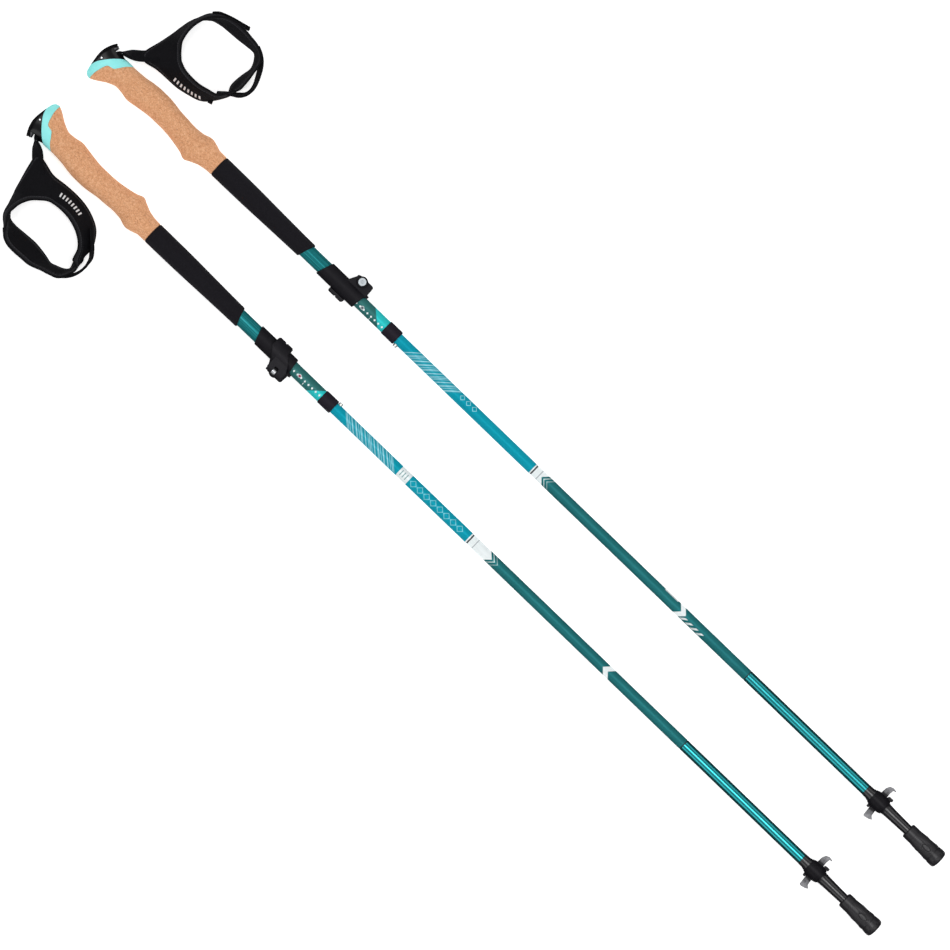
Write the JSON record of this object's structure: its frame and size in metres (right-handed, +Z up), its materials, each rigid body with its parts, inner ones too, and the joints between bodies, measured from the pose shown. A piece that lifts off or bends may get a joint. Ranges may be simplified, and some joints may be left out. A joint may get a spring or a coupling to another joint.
{
  "type": "folding trekking poles",
  "caption": "Pair of folding trekking poles with cork and foam grips, padded wrist straps, lever clamps, cord-tensioned shaft sections, claw baskets and rubber boots.",
  "frame": {"origin": "bottom centre of the pair of poles as they lie side by side", "axes": "+X along the poles from the grips to the tips, +Y from the left pole to the right pole, +Z up from the floor they lie on"},
  "size_m": [1.169, 0.3222, 0.0285],
  "materials": {
    "cork": "matte speckled cork",
    "trim_rubber": "smooth satin",
    "cap_plastic": "glossy",
    "steel_pin": "satin",
    "inner_plastic": "matte",
    "webbing": "woven",
    "padded_fabric": "padded, woven face",
    "foam": "closed-cell foam, matte",
    "upper_tube_paint": "anodised, satin",
    "clamp_plastic": "moulded, fine grain",
    "lever_plastic": "moulded, fine grain",
    "nut_steel": "bright",
    "scale_tube_paint": "anodised, satin",
    "collar_plastic": "matte",
    "section_1_paint": "satin with printed bands",
    "spring_steel": "satin",
    "plug_plastic": "matte",
    "section_2_paint": "matte with printed bands",
    "section_3_paint": "glossy",
    "cord_fabric": "braided",
    "shank_plastic": "satin",
    "basket_plastic": "satin",
    "carbide": "sintered",
    "boot_rubber": "matte"
  },
  "bodies": {
    "left_handle": {"left_cork_grip": "cork", "left_trim_ring": "trim_rubber", "left_top_cap": "cap_plastic", "left_cap_pin": "steel_pin", "left_strap_wedge": "inner_plastic", "left_foam_grip": "foam", "left_upper_tube": "upper_tube_paint", "left_clamp_body": "clamp_plastic", "left_lever_pin": "steel_pin", "left_clamp_bolt": "steel_pin"},
    "left_lever": {"left_clamp_lever": "lever_plastic"},
    "left_nut": {"left_adjust_nut": "nut_steel"},
    "left_strap": {"left_strap_webbing": "webbing", "left_strap_band": "padded_fabric", "left_strap_tab": "webbing"},
    "left_scale": {"left_scale_tube": "scale_tube_paint", "left_tube_collar": "collar_plastic", "left_cord_anchor": "inner_plastic", "left_tension_cord": "cord_fabric"},
    "left_section_1": {"left_tube_section_1": "section_1_paint"},
    "left_button": {"left_snap_button": "spring_steel"},
    "left_section_2": {"left_section_plug_1": "plug_plastic", "left_tube_section_2": "section_2_paint"},
    "left_section_3": {"left_section_plug_2": "plug_plastic", "left_tube_section_3": "section_3_paint", "left_cord_stop": "inner_plastic", "left_tip_shank": "shank_plastic", "left_claw_basket": "basket_plastic", "left_carbide_tip": "carbide"},
    "left_boot": {"left_rubber_boot": "boot_rubber"},
    "right_handle": {"right_cork_grip": "cork", "right_trim_ring": "trim_rubber", "right_top_cap": "cap_plastic", "right_cap_pin": "steel_pin", "right_strap_wedge": "inner_plastic", "right_foam_grip": "foam", "right_upper_tube": "upper_tube_paint", "right_clamp_body": "clamp_plastic", "right_lever_pin": "steel_pin", "right_clamp_bolt": "steel_pin"},
    "right_lever": {"right_clamp_lever": "lever_plastic"},
    "right_nut": {"right_adjust_nut": "nut_steel"},
    "right_strap": {"right_strap_webbing": "webbing", "right_strap_band": "padded_fabric", "right_strap_tab": "webbing"},
    "right_scale": {"right_scale_tube": "scale_tube_paint", "right_tube_collar": "collar_plastic", "right_cord_anchor": "inner_plastic", "right_tension_cord": "cord_fabric"},
    "right_section_1": {"right_tube_section_1": "section_1_paint"},
    "right_button": {"right_snap_button": "spring_steel"},
    "right_section_2": {"right_section_plug_1": "plug_plastic", "right_tube_section_2": "section_2_paint"},
    "right_section_3": {"right_section_plug_2": "plug_plastic", "right_tube_section_3": "section_3_paint", "right_cord_stop": "inner_plastic", "right_tip_shank": "shank_plastic", "right_claw_basket": "basket_plastic", "right_carbide_tip": "carbide"},
    "right_boot": {"right_rubber_boot": "boot_rubber"}
  },
  "joints": [
    {"name": "left_strap_swing", "type": "hinge", "parent": "left_handle", "child": "left_strap", "pos_m": [-0.5685, -0.06724, 0.01425], "axis": [0, 0, -1], "range_deg": [-5, 80], "deforming": ["left_strap_webbing"]},
    {"name": "left_clamp_lever_open", "type": "hinge", "parent": "left_handle", "child": "left_lever", "pos_m": [-0.2359, -0.06774, 0.02374], "axis": [1, 0, 0], "range_deg": [0, 150]},
    {"name": "left_adjust_nut_turn", "type": "hinge", "parent": "left_handle", "child": "left_nut", "pos_m": [-0.2359, -0.06774, 0.00524], "axis": [0, 0, 1], "continuous": true},
    {"name": "left_length_slide", "type": "slide", "parent": "left_handle", "child": "left_scale", "axis": [1, 0, 0], "range_m": [-0.035, 0.1]},
    {"name": "left_section_1_slide", "type": "slide", "parent": "left_scale", "child": "left_section_1", "axis": [-1, 0, 0], "range_m": [0, 0.188], "deforming": ["left_snap_button", "left_tension_cord"]},
    {"name": "left_snap_button_press", "type": "slide", "parent": "left_section_1", "child": "left_button", "axis": [0, -1, 0], "range_m": [0, 0.0028]},
    {"name": "left_fold_1", "type": "hinge", "parent": "left_section_1", "child": "left_section_2", "pos_m": [0.02055, -0.05174, 0.03424], "axis": [0, -1, 0], "range_deg": [0, 179.8]},
    {"name": "left_fold_2", "type": "hinge", "parent": "left_section_2", "child": "left_section_3", "pos_m": [0.31685, -0.05174, 0.02424], "axis": [0, -1, 0], "range_deg": [0, 179.8]},
    {"name": "left_boot_pull", "type": "slide", "parent": "left_section_3", "child": "left_boot", "axis": [1, 0, 0], "range_m": [0, 0.035]},
    {"name": "pair_spread", "type": "slide", "parent": "left_handle", "child": "right_handle", "axis": [0, 1, 0], "range_m": [-0.03, 0.2]},
    {"name": "right_strap_swing", "type": "hinge", "parent": "right_handle", "child": "right_strap", "pos_m": [-0.567, 0.05776, 0.01425], "axis": [0, 0, 1], "range_deg": [-5, 80], "deforming": ["right_strap_webbing"]},
    {"name": "right_clamp_lever_open", "type": "hinge", "parent": "right_handle", "child": "right_lever", "pos_m": [-0.2344, 0.05826, 0.00475], "axis": [1, 0, 0], "range_deg": [0, 150]},
    {"name": "right_adjust_nut_turn", "type": "hinge", "parent": "right_handle", "child": "right_nut", "pos_m": [-0.2344, 0.05826, 0.02324], "axis": [0, 0, 1], "continuous": true},
    {"name": "right_length_slide", "type": "slide", "parent": "right_handle", "child": "right_scale", "axis": [1, 0, 0], "range_m": [-0.0315, 0.1]},
    {"name": "right_section_1_slide", "type": "slide", "parent": "right_scale", "child": "right_section_1", "axis": [-1, 0, 0], "range_m": [0, 0.188], "deforming": ["right_snap_button", "right_tension_cord"]},
    {"name": "right_snap_button_press", "type": "slide", "parent": "right_section_1", "child": "right_button", "axis": [0, 1, 0], "range_m": [0, 0.0028]},
    {"name": "right_fold_1", "type": "hinge", "parent": "right_section_1", "child": "right_section_2", "pos_m": [0.01855, 0.04226, 0.03424], "axis": [0, -1, 0], "range_deg": [0, 179.8]},
    {"name": "right_fold_2", "type": "hinge", "parent": "right_section_2", "child": "right_section_3", "pos_m": [0.31485, 0.04226, 0.02424], "axis": [0, -1, 0], "range_deg": [0, 179.8]},
    {"name": "right_boot_pull", "type": "slide", "parent": "right_section_3", "child": "right_boot", "axis": [1, 0, 0], "range_m": [0, 0.035]}
  ]
}
